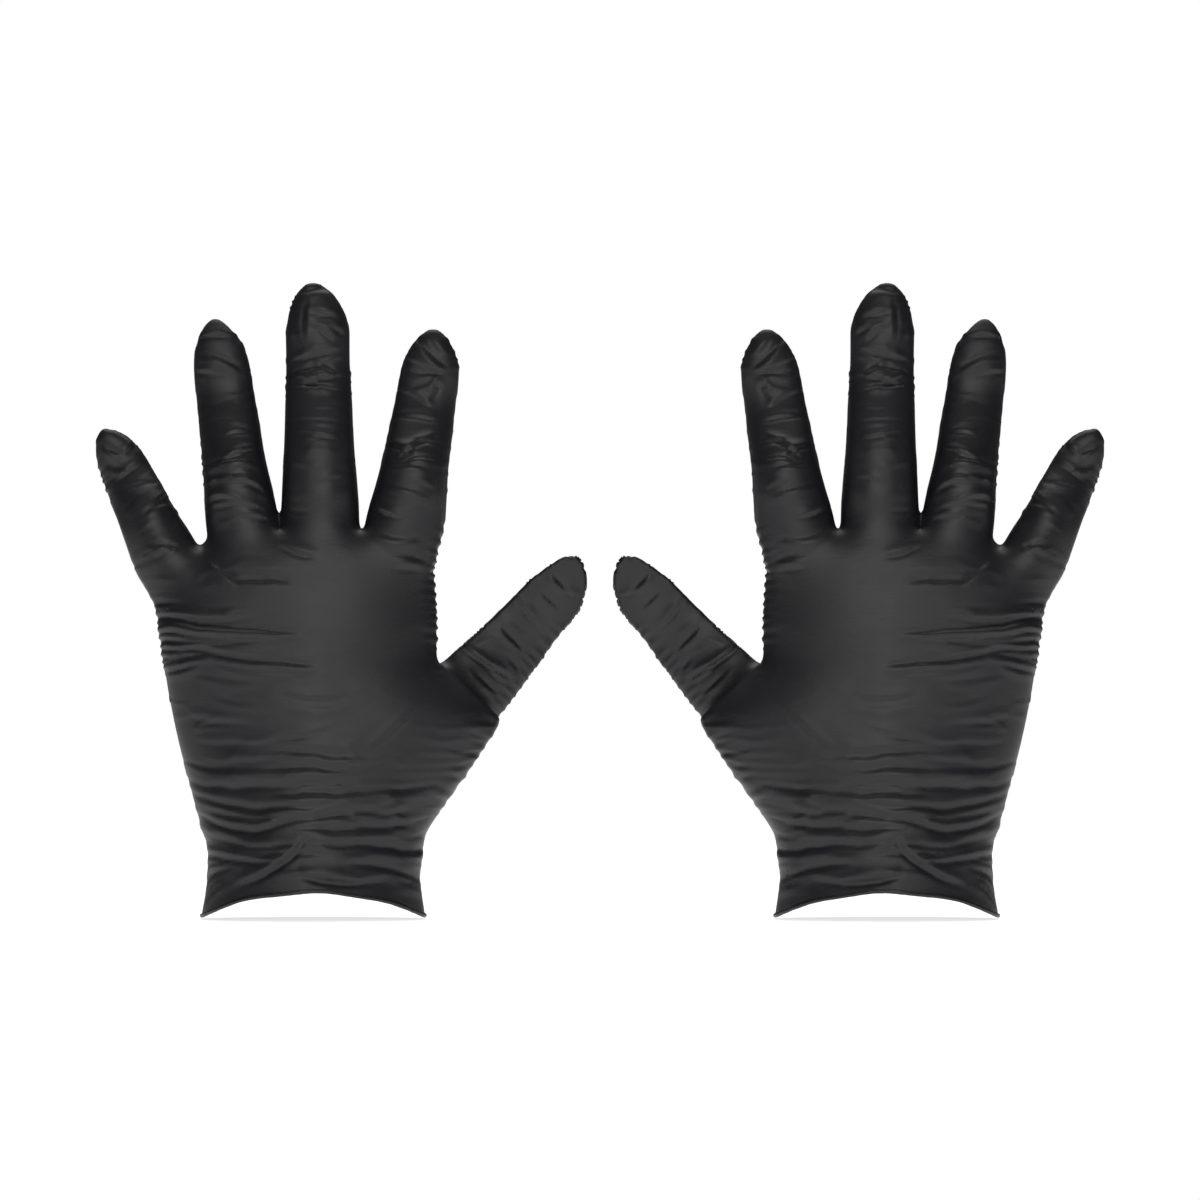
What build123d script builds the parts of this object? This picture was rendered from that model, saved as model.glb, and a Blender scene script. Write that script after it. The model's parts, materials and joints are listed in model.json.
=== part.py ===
"""A pair of close-fitting dipped film gloves, in the shape they take on an open hand.

Millimetres, +Z up. Each glove stands fingers up, its back to -Y and its palm to +Y, and the
thumbs turn to each other. The origin is at floor level, halfway between the two cuffs.
The film bends at the knuckles, so each glove is a set of open film tubes, hinged one to the
next along the crease that the film makes on its palm side.
"""

from build123d import *

import os
from dataclasses import dataclass
from math import cos, radians, sin

# ---- film ----
FILM = 0.5  # wall of the film
BEAD_RISE = 0.5  # how far the rolled edge stands out from the film, inside and outside
BEAD_HEIGHT = 1.6  # height of the rolled edge
FLEX_GAP = 0.3  # air between two tubes that are hinged together

# ---- the pair ----
CUFF_SPACING = 191.0  # from one cuff's middle to the other's

# ---- cuff, about its own upright axis ----
CUFF_HEIGHT = 24.0  # floor to the wrist
WRIST_WIDTH = 70.5
WRIST_DEPTH = 46.0
CUFF_FLARE = 2.0  # how much further out the edge is than the wrist, on each side
CUFF_WAIST_FLARE = 0.5  # the same halfway up the cuff
ARCH_HEIGHT = 8.7  # rise of the open edge at the back and the front

# ---- hand part ----
CROTCH_HEIGHT = 131.5  # floor to the root of the middle finger
MIDDLE_REACH = 2.2  # from the cuff's middle to the middle finger's, towards the thumb
CROTCH_GAP = 0.8  # between the roots of neighbouring fingers
LITTLE_DROP = 7.0  # the little finger's root is this much lower than the ring finger's
KNUCKLE_DROP = 10.0  # from the little finger's root down to the knuckle line
KNUCKLE_DEPTH = 29.0
KNUCKLE_TUCK = 4.0  # how far the knuckle line's ends lie inside the outer fingers' sides
WEB_DROP = 1.5  # the web between the fingers ends this much below their roots
WEB_DEPTH = 11.0  # thickness of the web, back to palm
ROOT_SINK = 27.0  # how far a finger's root reaches down into the hand part
ROOT_TAPER = 0.5  # width and depth of a root's sunk end, as a share of its open end's
ROOT_SWELL = 1.0  # extra depth of a root where it meets the knuckles
ROOT_SWELL_DROP = 9.0  # from a root's open end down to that swell
HAND_STEPS = 4  # even steps between the wrist and the knuckle line

# ---- thumb's mound ----
THUMB_CROTCH_HEIGHT = 87.5
THUMB_CROTCH_REACH = 3.0  # from the index finger's side out to the thumb's root
MOUND_FOOT = 3.0  # wrist up to the mound's lower end
MOUND_FOOT_WIDTH = 40.0
MOUND_FOOT_DEPTH = 34.0
MOUND_SIDE_GAP = 1.5  # from the wrist's side in to the mound's lower end
MOUND_BACK = 29.0  # from the thumb's root back to the middle of the mound
MOUND_WIDTH = 36.0
MOUND_DEPTH = 31.0
MOUND_SHIFT = 8.5  # the mound's middle is this much nearer the fingers than the thumb's own line
MOUND_LEAN = 18.0  # of the mound's middle section, towards the thumb's side
MOUND_LINE_LEAN = 27.0  # of the line from the mound's middle up to the thumb's root

# ---- fingertips, as shares of the way up the last length and of its width and depth ----
TIP_PROFILE = [(0.45, 0.97), (0.75, 0.8), (0.92, 0.5)]


@dataclass
class Digit:
    """A finger or thumb. Lean is from upright towards the thumb's side, in degrees, and droop is
    towards the palm. Widths and depths are at the joints, lengths run from each joint to the
    next and from the last one to the tip, and limits say how far each joint closes."""

    name: str
    lean: float
    root_lean: float
    roll: float
    y: float
    widths: list
    depths: list
    lengths: list
    droops: list
    limits: list
    x: float = 0.0
    z: float = 0.0


CLOSE = [80, 90, 55]  # how far a finger closes at its three joints, in degrees
INDEX = Digit("index", 9, 5, 0, 0, [26.2, 21.4, 20], [21, 19, 17], [22, 22, 24.5], [1, 4, 8], CLOSE)
MIDDLE = Digit("middle", -1, 0, 0, 0, [26, 22.6, 21], [21.5, 19.5, 17.5], [27, 25, 29.5], [1, 4, 8], CLOSE)
RING = Digit("ring", -8, -4, 0, 0, [24.4, 20.2, 19], [20.5, 18.5, 16.5], [22, 24.5, 25.5], [1, 4, 8], CLOSE)
LITTLE = Digit("little", -25, -14, 0, 0.5, [22.4, 18.2, 16.6], [18.5, 16.5, 14.5], [16.5, 15.5, 18], [2, 5, 9], CLOSE)
THUMB = Digit("thumb", 38, 36, 25, 5.5, [26, 21], [23, 18.5], [27, 27], [3, 5], [45, 60])
FINGERS = [INDEX, MIDDLE, RING, LITTLE]
DIGITS = [THUMB, *FINGERS]


def blend(start, end, share):
    """The value that lies this share of the way from start to end."""
    return start + (end - start) * share


def across(lean):
    """Unit vector from a digit's little-finger side to its thumb side."""
    return Vector(cos(radians(lean)), 0, -sin(radians(lean)))


def upward(lean, droop):
    """Unit vector up a digit."""
    level = cos(radians(droop))
    return Vector(sin(radians(lean)) * level, sin(radians(droop)), cos(radians(lean)) * level)


def root_end(digit, side):
    """One end of a digit's root, where side 1 is the end towards the thumb and -1 the other."""
    return Vector(digit.x, 0, digit.z) + across(digit.root_lean) * (side * digit.widths[0] / 2)


def set_root(digit, x, z, side):
    """Puts a digit's root with one end at x, z, so that it lies on that side of the point."""
    digit.x = digit.z = 0
    middle = Vector(x, 0, z) + root_end(digit, side)
    digit.x, digit.z = middle.X, middle.Z


def place_roots():
    """Sets the roots side by side, so that each is next to its neighbour, whatever their widths."""
    MIDDLE.x, MIDDLE.z = MIDDLE_REACH, CROTCH_HEIGHT
    corner = root_end(MIDDLE, 1)
    set_root(INDEX, corner.X + CROTCH_GAP, corner.Z, 1)
    corner = root_end(MIDDLE, -1)
    set_root(RING, corner.X - CROTCH_GAP, corner.Z, -1)
    corner = root_end(RING, -1)
    set_root(LITTLE, corner.X - CROTCH_GAP, corner.Z - LITTLE_DROP, -1)
    corner = root_end(INDEX, 1)
    set_root(THUMB, corner.X + THUMB_CROTCH_REACH, THUMB_CROTCH_HEIGHT, 1)


def station(digit, i):
    """The plane across a digit at its root (i = 0), at a later joint, or at its tip."""
    at = Vector(digit.x, digit.y, digit.z)
    for length, droop in zip(digit.lengths[:i], digit.droops[:i]):
        at += upward(digit.lean, droop) * length
    last = len(digit.droops) - 1
    droop = (digit.droops[max(i - 1, 0)] + digit.droops[min(i, last)]) / 2 if i else 0
    lean = digit.lean if i else digit.root_lean
    flat = Plane(origin=at, x_dir=across(lean), z_dir=upward(lean, droop))
    return flat.rotated((0, 0, digit.roll))


def oval(plane, width, depth, inset):
    """An ellipse on a plane, taken in by inset all round."""
    with BuildSketch(plane) as section:
        Ellipse(width / 2 - inset, depth / 2 - inset)
    return section.sketch


def level_oval(left, right, depth, z, inset):
    """A level ellipse between a left and a right side, taken in by inset all round."""
    return oval(Plane((blend(left, right, 0.5), 0, z)), right - left, depth, inset)


def hand_body(inset):
    """The hand from the wrist to the knuckle line, and the web above it, without the roots."""
    half_wrist = WRIST_WIDTH / 2
    left = root_end(LITTLE, -1).X + KNUCKLE_TUCK
    right = root_end(INDEX, 1).X - KNUCKLE_TUCK / 2
    knuckles = LITTLE.z - KNUCKLE_DROP
    body = []
    for step in range(HAND_STEPS + 1):
        share = step / HAND_STEPS
        foot = inset * 2 if inset and step == 0 else 0
        z = blend(CUFF_HEIGHT, knuckles, share) - foot
        depth = blend(WRIST_DEPTH, KNUCKLE_DEPTH, share)
        body_left, body_right = blend(-half_wrist, left, share), blend(half_wrist, right, share)
        body.append(level_oval(body_left, body_right, depth, z, inset))
    web_left = root_end(RING, -1).X + KNUCKLE_TUCK
    web = level_oval(web_left, right - KNUCKLE_TUCK, WEB_DEPTH, CROTCH_HEIGHT - WEB_DROP - inset, inset)
    with BuildPart() as solid:
        loft(body, ruled=True)
        loft([body[-1], web], ruled=True)
    return solid.part


def root(digit, inset):
    """A finger's root. The inner one, which hollows it, reaches past its end to leave it open."""
    top = station(digit, 0)
    foot = top.offset(-ROOT_SINK)
    end = FLEX_GAP if inset else -FLEX_GAP / 2
    width, depth = digit.widths[0], digit.depths[0]
    with BuildPart() as solid:
        sections = [
            oval(foot, width * ROOT_TAPER, depth * ROOT_TAPER, inset),
            oval(top.offset(-ROOT_SWELL_DROP), width, depth + ROOT_SWELL, inset),
            oval(top.offset(end), width, depth, inset),
        ]
        loft(sections)
    return solid.part


def mound(inset):
    """The thumb's mound, from inside the wrist to the thumb's root."""
    top = station(THUMB, 0)
    end = FLEX_GAP if inset else -FLEX_GAP / 2
    foot_right = WRIST_WIDTH / 2 - MOUND_SIDE_GAP
    foot_z = CUFF_HEIGHT + MOUND_FOOT
    foot = level_oval(foot_right - MOUND_FOOT_WIDTH, foot_right, MOUND_FOOT_DEPTH, foot_z, inset)
    middle = top.origin - upward(MOUND_LINE_LEAN, 0) * MOUND_BACK - across(MOUND_LEAN) * MOUND_SHIFT
    waist = Plane(origin=middle, x_dir=across(MOUND_LEAN), z_dir=upward(MOUND_LEAN, 0))
    with BuildPart() as solid:
        waist_oval = oval(waist, MOUND_WIDTH, MOUND_DEPTH, inset)
        loft([foot, waist_oval, oval(top.offset(end), THUMB.widths[0], THUMB.depths[0], inset)], ruled=True)
    return solid.part


def hand_film():
    """The hand part, open at the wrist and at the five roots."""
    with BuildPart() as film:
        add(hand_body(0))
        for digit in FINGERS:
            plane = station(digit, 0).offset(-FLEX_GAP / 2)
            with Locations(plane):
                size = (digit.widths[0] + CROTCH_GAP, WRIST_DEPTH, ROOT_SINK)
                Box(*size, align=(Align.CENTER, Align.CENTER, Align.MIN), mode=Mode.SUBTRACT)
            add(root(digit, 0))
        add(mound(0))
        add(hand_body(FILM), mode=Mode.SUBTRACT)
        add(mound(FILM), mode=Mode.SUBTRACT)
        for digit in FINGERS:
            add(root(digit, FILM), mode=Mode.SUBTRACT)
    return film.part


def digit_tube(digit, i):
    """One open length of a digit, from joint i to the next."""
    foot, head = station(digit, i), station(digit, i + 1)
    with BuildPart() as film:
        for inset, lift, mode in [(0, FLEX_GAP / 2, Mode.ADD), (FILM, -FLEX_GAP, Mode.SUBTRACT)]:
            low = oval(foot.offset(lift), digit.widths[i], digit.depths[i], inset)
            high = oval(head.offset(-lift), digit.widths[i + 1], digit.depths[i + 1], inset)
            loft([low, high], mode=mode)
    return film.part


def digit_tip(digit):
    """A digit's closed end, from its last joint to the point of the film."""
    last = len(digit.lengths) - 1
    foot, head = station(digit, last), station(digit, last + 1)
    axis = head.origin - foot.origin
    width, depth = digit.widths[last], digit.depths[last]
    with BuildPart() as film:
        for inset, lift, mode in [(0, FLEX_GAP / 2, Mode.ADD), (FILM, -FLEX_GAP, Mode.SUBTRACT)]:
            outline = [oval(foot.offset(lift), width, depth, inset)]
            for share, size in TIP_PROFILE:
                plane = Plane(origin=foot.origin + axis * share, x_dir=foot.x_dir, z_dir=axis)
                outline.append(oval(plane, width * size, depth * size, inset))
            point = Vertex(foot.origin + axis * (1 - inset / axis.length))
            loft([*outline, point], mode=mode)
    return film.part


def cuff_band(low, high, outset, wall):
    """The cuff's film between two edges, given above the arched edge. Outset is how far it
    stands out from the film's own outside, and high None leaves it up to the wrist."""
    half = WRIST_WIDTH / 2 + CUFF_FLARE
    radius = (half**2 + ARCH_HEIGHT**2) / (2 * ARCH_HEIGHT)
    with BuildPart() as band:
        for inset, mode in [(-outset, Mode.ADD), (wall - outset, Mode.SUBTRACT)]:
            sections = []
            for z, flare in [(0, CUFF_FLARE), (CUFF_HEIGHT / 2, CUFF_WAIST_FLARE), (CUFF_HEIGHT, 0)]:
                width, depth = WRIST_WIDTH + 2 * flare, WRIST_DEPTH + 2 * flare
                sections.append(oval(Plane.XY.offset(z), width, depth, inset))
            loft(sections, mode=mode)
        with BuildSketch(Plane.XZ) as side:
            with Locations((0, ARCH_HEIGHT - radius)):
                if high:
                    Circle(radius + high)
                else:
                    Circle(radius + 2 * CUFF_HEIGHT)
                Circle(radius + low, mode=Mode.SUBTRACT)
        extrude(amount=WRIST_DEPTH, both=True, mode=Mode.INTERSECT)
    return band.part


def one_glove():
    """Every piece of the left glove, about its own cuff, by name."""
    pieces = {
        "cuff_bead": cuff_band(0, BEAD_HEIGHT, BEAD_RISE, FILM + 2 * BEAD_RISE),
        "cuff": cuff_band(BEAD_HEIGHT, None, 0, FILM),
        "hand": hand_film(),
    }
    for digit in DIGITS:
        names = ["base", "middle"][: len(digit.lengths) - 1]
        for i, name in enumerate(names):
            pieces[f"{digit.name}_{name}"] = digit_tube(digit, i)
        pieces[f"{digit.name}_tip"] = digit_tip(digit)
    return pieces


os.makedirs("parts", exist_ok=True)
place_roots()
for name, film in one_glove().items():
    with BuildPart() as left:
        with Locations((-CUFF_SPACING / 2, 0, 0)):
            add(film)
    left.part.label = f"left_{name}"
    export_step(left.part, f"parts/left_{name}.step")
    with BuildPart() as right:
        mirror(left.part, about=Plane.YZ)
    right.part.label = f"right_{name}"
    export_step(right.part, f"parts/right_{name}.step")

for digit in DIGITS:
    for i, limit in enumerate(digit.limits):
        plane = station(digit, i)
        hinge = plane.origin + plane.y_dir * (digit.depths[i] / 2)
        hinge.X -= CUFF_SPACING / 2
        axis = plane.x_dir * -1
        print(digit.name, i, limit, [round(v, 3) for v in hinge], [round(v, 5) for v in axis])
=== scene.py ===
# %% [markdown]
# # A pair of disposable nitrile gloves
# A disposable glove is one thin film. A porcelain hand is dipped in liquid nitrile rubber, the
# film sets on it, its lower edge is rolled into a bead, and the glove is peeled off inside out.
# Worn, the film is pulled tight over the back of the hand and bunches into fine folds wherever
# the hand bends: at the knuckles, the wrist and the tips, which are always a little too long.
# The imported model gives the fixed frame: where each knuckle hinges and how big each piece is.
# Everything below is grown on that frame, in metres, with +Z up.

import json
from math import cos, pi, radians, sin

import bmesh
import bpy
import numpy as np
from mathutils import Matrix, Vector


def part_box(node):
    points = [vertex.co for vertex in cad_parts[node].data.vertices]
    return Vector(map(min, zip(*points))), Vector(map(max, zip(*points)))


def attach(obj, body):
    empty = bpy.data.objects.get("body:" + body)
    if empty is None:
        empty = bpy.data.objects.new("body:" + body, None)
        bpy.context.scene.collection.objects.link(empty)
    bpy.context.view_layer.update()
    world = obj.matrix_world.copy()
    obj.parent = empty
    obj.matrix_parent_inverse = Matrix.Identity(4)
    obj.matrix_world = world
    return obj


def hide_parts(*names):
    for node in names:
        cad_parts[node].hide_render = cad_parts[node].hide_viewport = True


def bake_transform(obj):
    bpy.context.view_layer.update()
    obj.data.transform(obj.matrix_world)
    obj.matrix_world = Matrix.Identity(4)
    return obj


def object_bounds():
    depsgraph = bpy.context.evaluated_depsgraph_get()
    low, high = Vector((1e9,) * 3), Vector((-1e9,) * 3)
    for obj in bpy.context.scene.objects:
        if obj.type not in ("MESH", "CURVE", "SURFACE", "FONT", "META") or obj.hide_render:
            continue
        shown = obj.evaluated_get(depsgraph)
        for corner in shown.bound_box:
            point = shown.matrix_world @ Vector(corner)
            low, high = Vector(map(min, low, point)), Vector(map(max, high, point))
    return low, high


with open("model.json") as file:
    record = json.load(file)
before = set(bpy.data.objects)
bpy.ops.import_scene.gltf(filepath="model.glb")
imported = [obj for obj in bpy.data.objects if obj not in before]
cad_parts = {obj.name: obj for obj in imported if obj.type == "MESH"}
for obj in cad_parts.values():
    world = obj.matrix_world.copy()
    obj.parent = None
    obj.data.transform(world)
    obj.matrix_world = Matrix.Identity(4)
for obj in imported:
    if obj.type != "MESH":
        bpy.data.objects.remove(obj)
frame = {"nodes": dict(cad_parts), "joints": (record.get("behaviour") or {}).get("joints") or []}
cad_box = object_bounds()
MM = 0.001
print("the frame's box in mm:", [[round(v / MM, 1) for v in corner] for corner in cad_box])

# %% [markdown]
# ## Measuring the fingers
# The glove has to bend where the frame bends, so each finger is measured from it. A hinge lies
# in the crease on the palm side of a knuckle. From the hinges come the finger's line, the way
# its pad faces, and its width and depth at every knuckle. The left-hand glove is measured and
# built, and the right-hand one is its mirror image.

# %% Reading a finger from its hinges
KNUCKLES = ["root", "knuckle", "end_knuckle"]
SEGMENTS = {"thumb": ["base", "tip"]}
for finger in ["index", "middle", "ring", "little"]:
    SEGMENTS[finger] = ["base", "middle", "tip"]
HINGES = {joint["name"]: joint for joint in frame["joints"]}


def read_points(mesh):
    """Every point of a mesh, as rows of x, y, z."""
    flat = np.empty(len(mesh.vertices) * 3)
    mesh.vertices.foreach_get("co", flat)
    return flat.reshape(-1, 3)


def write_points(mesh, points):
    mesh.vertices.foreach_set("co", points.ravel())
    mesh.update()


def corners(node):
    return read_points(frame["nodes"][node].data)


def unit(v):
    return v / np.linalg.norm(v)


def measure_digit(name):
    """The stations of a finger or thumb: centre, half width and half depth at each knuckle and
    at the tip, with the directions across it, up it and out of its pad."""
    segments = SEGMENTS[name]
    hinges = [HINGES[f"left_{name}_{k}"] for k in KNUCKLES[: len(segments)]]
    creases = [np.array(h["pos_m"]) for h in hinges]
    across = unit(-np.array(hinges[-1]["axis"]))
    last = corners(f"left_{name}_{segments[-1]}")
    up = unit(creases[-1] - creases[0])
    creases.append(last[np.argmax((last - creases[-1]) @ up)])
    centres, widths, depths = [], [], []
    for i, segment in enumerate(segments):
        points = corners(f"left_{name}_{segment}") - creases[i]
        along = unit(creases[i + 1] - creases[i])
        pad = unit(np.cross(along, across))
        ring = points[np.abs(points @ along) < 3 * MM]
        widths.append(np.abs(ring @ across).max())
        depths.append(-(ring @ pad).min() / 2)
        centres.append(creases[i] - pad * depths[-1])
    centres.append(creases[-1])
    up = unit(centres[-2] - centres[0])
    across = unit(across - (across @ up) * up)
    return {"name": name, "centres": np.array(centres), "widths": np.array(widths),
            "depths": np.array(depths), "across": across, "up": up, "pad": unit(np.cross(up, across))}


DIGITS = {name: measure_digit(name) for name in SEGMENTS}
for name, digit in DIGITS.items():
    print(name, "widths in mm:", (2 * digit["widths"] / MM).round(1), "length:",
          round(np.linalg.norm(digit["centres"][-1] - digit["centres"][0]) / MM, 1))

# %% [markdown]
# ## Closed forms for the hand inside
# The film takes the shape of the hand in it, so that shape is made first, as plain closed
# forms that overlap: the palm, the ball of the thumb and five digits. Each is a loft, a stack of
# rounded rings joined into a skin. Metaballs would also melt into a hand, but with rings every
# width is set where it was measured.

# %% A loft of rounded rings
RING_POINTS = 64


def ring(centre, x_dir, y_dir, half_x, half_y, square=2.0):
    """One rounded section. A square of 2 is an ellipse, and more is boxier."""
    turn = np.linspace(0, 2 * pi, RING_POINTS, endpoint=False)
    x = np.sign(np.cos(turn)) * np.abs(np.cos(turn)) ** (2 / square) * half_x
    y = np.sign(np.sin(turn)) * np.abs(np.sin(turn)) ** (2 / square) * half_y
    return centre + np.outer(x, x_dir) + np.outer(y, y_dir)


def face_outward(mesh):
    bm = bmesh.new()
    bm.from_mesh(mesh)
    bmesh.ops.recalc_face_normals(bm, faces=bm.faces)
    bm.to_mesh(mesh)
    bm.free()


def loft(name, rings):
    """A closed mesh through a stack of rings."""
    points = np.concatenate([*rings, [rings[0].mean(0)], [rings[-1].mean(0)]])
    n = RING_POINTS
    faces = []
    for level in range(len(rings) - 1):
        for i in range(n):
            a, b = level * n + i, level * n + (i + 1) % n
            faces.append((a, b, b + n, a + n))
    foot, head = len(points) - 2, len(points) - 1
    top = (len(rings) - 1) * n
    for i in range(n):
        faces.append((foot, (i + 1) % n, i))
        faces.append((head, top + i, top + (i + 1) % n))
    mesh = bpy.data.meshes.new(name)
    mesh.from_pydata(points.tolist(), [], faces)
    face_outward(mesh)
    return mesh


# %% [markdown]
# ### Fingers
# A finger is a stack of rings from inside the hand to the tip. Past the last knuckle the rings
# close in a dome. Each tip is a little different, because the film's end is never quite filled:
# some stay round and some pinch to a point, and the point wanders to one side. For the same
# reason the film hangs a little to one side of the finger. Tip sizes are in millimetres.

# %% Lofting the fingers
ROOT_SINK = 26 * MM
STRAIGHT_RINGS = 30
DOME_RINGS = 16
MOST_DOME = 0.4  # the dome is never more than this share of the finger
BLEND_REACH = 6 * MM  # a ring's measures are averaged this far up and down
SLACK_START = 12 * MM  # the film's slack to one side is full this far above the root
THUMB_SLACK = 1.15  # the film is this much wider than the thumb in it
FINGER_SQUARE = 2.2
THUMB_SQUARE = 1.95
TIP_DOME = {"thumb": 24, "index": 21, "middle": 20, "ring": 22, "little": 21}
TIP_PINCH = {"thumb": 1.15, "index": 1.15, "middle": 1.08, "ring": 1.3, "little": 1.2}
TIP_SHORT = {"thumb": 0.6, "index": 0.5, "middle": 0.3, "ring": 0.9, "little": 0.5}
SUNK_WIDTH = {"thumb": 1.2, "index": 0.72, "middle": 0.7, "ring": 0.7, "little": 0.9}
SUNK_DEPTH = {"thumb": 0.45, "index": 0.5, "middle": 0.5, "ring": 0.5, "little": 0.6}
SLACK_SIDE = {"thumb": 3.8, "index": 1.5, "middle": 0.1, "ring": 0.3, "little": -1.5}
TIP_DRIFT = {"thumb": -3.2, "index": -0.8, "middle": -1.6, "ring": -0.4, "little": -1.2}


def digit_form(digit):
    """The closed form of one finger or the thumb."""
    name, centres = digit["name"], digit["centres"]
    steps = np.linalg.norm(np.diff(centres, axis=0), axis=1)
    marks = np.concatenate([[0], np.cumsum(steps)])
    total = marks[-1] - TIP_SHORT[name] * MM
    dome = min(TIP_DOME[name] * MM, total * MOST_DOME)
    rings = []
    straight = np.linspace(-ROOT_SINK, total - dome, STRAIGHT_RINGS)
    domed = total - dome + dome * np.sin(np.linspace(0.06, 1, DOME_RINGS) * pi / 2)
    levels = np.concatenate([straight, domed])
    marks = np.concatenate([[-ROOT_SINK], marks])
    centres = np.concatenate([[centres[0] - digit["up"] * ROOT_SINK], centres])
    widths = np.concatenate([[digit["widths"][0] * SUNK_WIDTH[name]], digit["widths"]])
    depths = np.concatenate([[digit["depths"][0] * SUNK_DEPTH[name]], digit["depths"]])
    widths[1:] *= THUMB_SLACK if name == "thumb" else 1
    square = THUMB_SQUARE if name == "thumb" else FINGER_SQUARE
    nearby = np.linspace(-6, 6, 9) * MM
    for s in levels:
        reach = nearby * min(1, (total - s) / BLEND_REACH, (s + ROOT_SINK) / BLEND_REACH)
        centre = np.array([np.interp(s + reach, marks, centres[:, k]).mean() for k in range(3)])
        half_x = np.interp(s + reach, marks[:-1], widths).mean()
        half_y = np.interp(s + reach, marks[:-1], depths).mean()
        inside = np.clip((s - (total - dome)) / dome, 0, 0.999)
        close = (1 - inside**2.1) ** (0.5 * TIP_PINCH[name])
        slack = SLACK_SIDE[name] * np.clip((s + ROOT_SINK) / (ROOT_SINK + SLACK_START), 0, 1)
        centre = centre + digit["across"] * (slack + TIP_DRIFT[name] * inside**3) * MM
        rings.append(ring(centre, digit["across"], digit["pad"], half_x * close, half_y * close, square))
    return loft(name, rings)


forms = [digit_form(digit) for digit in DIGITS.values()]
print("digit forms:", [len(form.vertices) for form in forms])

# %% [markdown]
# ### Palm, wrist and ball of the thumb
# The hand widens in almost straight lines from the wrist, on one side to the knuckle of the
# little finger and on the other right out to the thumb. Its rings are level and get thinner
# towards the thumb, so that its back runs on into the thumb, though a ledge is left at the outer
# side. The cuff has a level edge for now: its arch comes when the edge has been cut clean.

# %% Lofting the palm
mouth_low, mouth_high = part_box("left_cuff_bead")
CUFF_X = (mouth_low.x + mouth_high.x) / 2
WRIST_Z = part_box("left_cuff")[1].z
ARCH = mouth_high.z - 1.6 * MM
LITTLE_INSET = 5.5 * MM  # from the little finger's side in to the palm's own edge
INDEX_INSET = 1.2 * MM  # the same at the index finger
THUMB_TAPER = 60 * MM  # the back gets thinner over this distance towards the thumb
X, Y = np.eye(3)[:2]


def side_of(name, way, extra=0.0):
    """The side of a digit's root, towards the thumb (way 1) or away from it (way -1)."""
    digit = DIGITS[name]
    return digit["centres"][0] + way * digit["across"] * (digit["widths"][0] + extra)


little_side = side_of("little", -1)
index_side = side_of("index", 1)
ring_side = side_of("ring", -1)
thumb_side = side_of("thumb", 1, 4.5 * MM)
web_z = DIGITS["middle"]["centres"][0][2]
mouth_half = (mouth_high.x - mouth_low.x) / 2 - 0.6 * MM
wrist_half = mouth_half - 2.2 * MM
heel = np.array([CUFF_X + wrist_half + 1.4 * MM, 0, WRIST_Z + 3.5 * MM])


def level_ring(z, left, right, back, palm, square=2.15):
    """A level section of the hand. It gets thinner at the back towards the thumb."""
    half = (right - left) / 2
    points = ring(np.array([left + half, 0, z]), X, Y, half, 1.0, square)
    thumbward = np.clip((points[:, 0] - CUFF_X) / THUMB_TAPER, 0, 1.2)
    outward = points[:, 1]
    back_y = outward * back * (1 - 0.22 * thumbward)
    palm_y = outward * palm * (1 - 0.1 * thumbward)
    points[:, 1] = np.where(outward < 0, back_y, palm_y) + 2.5 * MM * thumbward**2
    return points


def thumb_line(z):
    """How far out the hand reaches on the thumb's side, up to the web beside the index finger."""
    slope = (thumb_side[0] - heel[0]) / (thumb_side[2] - heel[2])
    edge = heel[0] + (z - heel[2]) * (slope if z > heel[2] else 0.15)
    if z < thumb_side[2] - 2 * MM:
        return edge
    tuck = z - thumb_side[2] + 2 * MM
    return max(edge - 1.85 * tuck, index_side[0] - INDEX_INSET)


def palm_form():
    knuckle_z = little_side[2] - 13 * MM
    rings = []
    for z, half, deep in [(-6, 0.4, 24), (2, 0.2, 23.8), (9, 0, 23.4), (13, -1.3, 22.6), (19, -2.1, 22.2)]:
        side = mouth_half + half * MM
        rings.append(level_ring(z * MM, CUFF_X - side, CUFF_X + side, deep * MM, deep * MM))
    for share in np.linspace(0, 1, 34):
        z = WRIST_Z + (knuckle_z - WRIST_Z) * share
        swell = sin(pi * share)
        reach = little_side[0] + LITTLE_INSET - CUFF_X + wrist_half
        left = CUFF_X - wrist_half + reach * share - 2.2 * MM * swell
        right = thumb_line(z)
        back = (21.5 - 7.0 * share**0.8) * MM
        palm = (21.5 - 7.0 * share**0.9) * MM
        rings.append(level_ring(z, left, right, back, palm, 2.15 + 0.5 * share**2))
    for share, tuck, deep in [(0.35, 0.2, 13.4), (0.65, 0.5, 12.4), (0.85, 0.75, 11.2), (0.97, 0.95, 8)]:
        z = knuckle_z + (web_z - 1.5 * MM - knuckle_z) * share
        left = little_side[0] + LITTLE_INSET + (ring_side[0] - little_side[0]) * tuck
        right = index_side[0] - INDEX_INSET - 3 * tuck * MM
        rings.append(level_ring(z, left, right, deep * MM, deep * MM, 2.7))
    return loft("palm", rings)


forms.append(palm_form())
print("palm rings from", round(WRIST_Z / MM), "to", round(web_z / MM), "mm")

# %% [markdown]
# ## Melting the forms into one hand
# A voxel remesh turns the overlapping forms into a single skin of small even squares, and a
# smoothing pass rounds the valleys where they met into webs. Joining them with booleans would
# leave hard creases and long thin triangles, which can't carry fine folds.

# %% Voxel remesh and smoothing
GRID = 0.87 * MM
WEB_ROUNDING = 50  # rounds of smoothing on a grid of WEB_GRID
WEB_GRID = 0.7 * MM


def evaluated(obj):
    """A copy of the object's mesh with its modifiers applied."""
    return bpy.data.meshes.new_from_object(obj.evaluated_get(bpy.context.evaluated_depsgraph_get()))


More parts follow.
